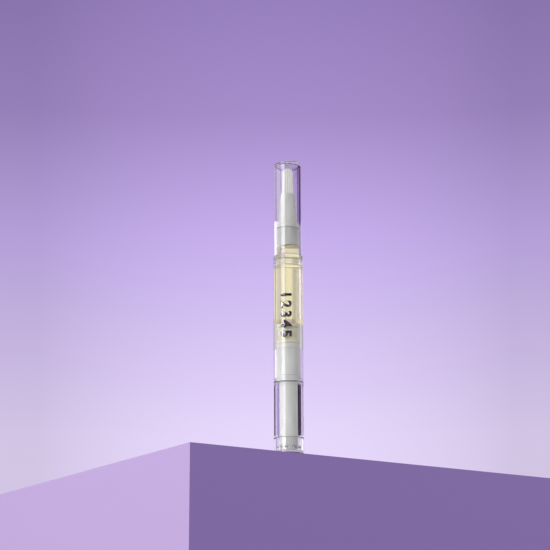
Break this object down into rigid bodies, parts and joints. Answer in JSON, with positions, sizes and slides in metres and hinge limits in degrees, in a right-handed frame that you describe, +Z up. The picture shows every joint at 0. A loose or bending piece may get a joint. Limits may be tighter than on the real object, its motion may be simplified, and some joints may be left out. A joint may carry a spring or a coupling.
{
  "type": "nail oil pen",
  "caption": "Slim clear twist pen for nail oil: turning the knob at its foot screws a piston up the barrel and feeds a nylon brush under a push-on cap.",
  "frame": {"origin": "centre of the knob's foot, on the surface that the pen stands on", "axes": "+Z runs up the pen's axis from the knob to the brush; +X and +Y run across it"},
  "size_m": [0.013, 0.013, 0.1314],
  "materials": {
    "clear_cap": "polished clear, with fine scuffs",
    "clear_plastic": "polished clear",
    "white_plastic": "satin moulded",
    "natural_plastic": "milky and translucent",
    "drive_plastic": "plain moulded",
    "nylon": "fine translucent strands",
    "nail_oil": "clear pale yellow liquid",
    "black_print": "thin glossy stamped foil"
  },
  "bodies": {
    "barrel": {"barrel": "clear_plastic", "neck_plug": "clear_plastic", "brush_holder": "white_plastic", "feed_tube": "natural_plastic", "brush_bristles": "nylon", "oil_column": "nail_oil", "oil_neck": "nail_oil", "guide_bush": "white_plastic", "ratchet_ring": "drive_plastic", "retaining_ring": "natural_plastic"},
    "knob": {"knob_shell": "clear_plastic", "knob_core": "white_plastic", "tail_cap": "clear_plastic", "drive_nut": "drive_plastic", "click_ring": "drive_plastic"},
    "plunger": {"piston": "natural_plastic", "screw_rod": "drive_plastic"},
    "cap": {"cap": "clear_cap"}
  },
  "joints": [
    {"name": "knob_turn", "type": "hinge", "parent": "barrel", "child": "knob", "pos_m": [0, 0, 0.03], "axis": [0, 0, 1], "range_deg": [0, 4680]},
    {"name": "plunger_rise", "type": "slide", "parent": "barrel", "child": "plunger", "axis": [0, 0, 1], "range_m": [0, 0.02601], "deforming": ["oil_column"]},
    {"name": "cap_pull", "type": "slide", "parent": "barrel", "child": "cap", "axis": [0, 0, 1], "range_m": [0, 0.045]}
  ],
  "couplings": [
    {"joint": "plunger_rise", "follows": "knob_turn", "m_per_rad": 0.00031831}
  ]
}
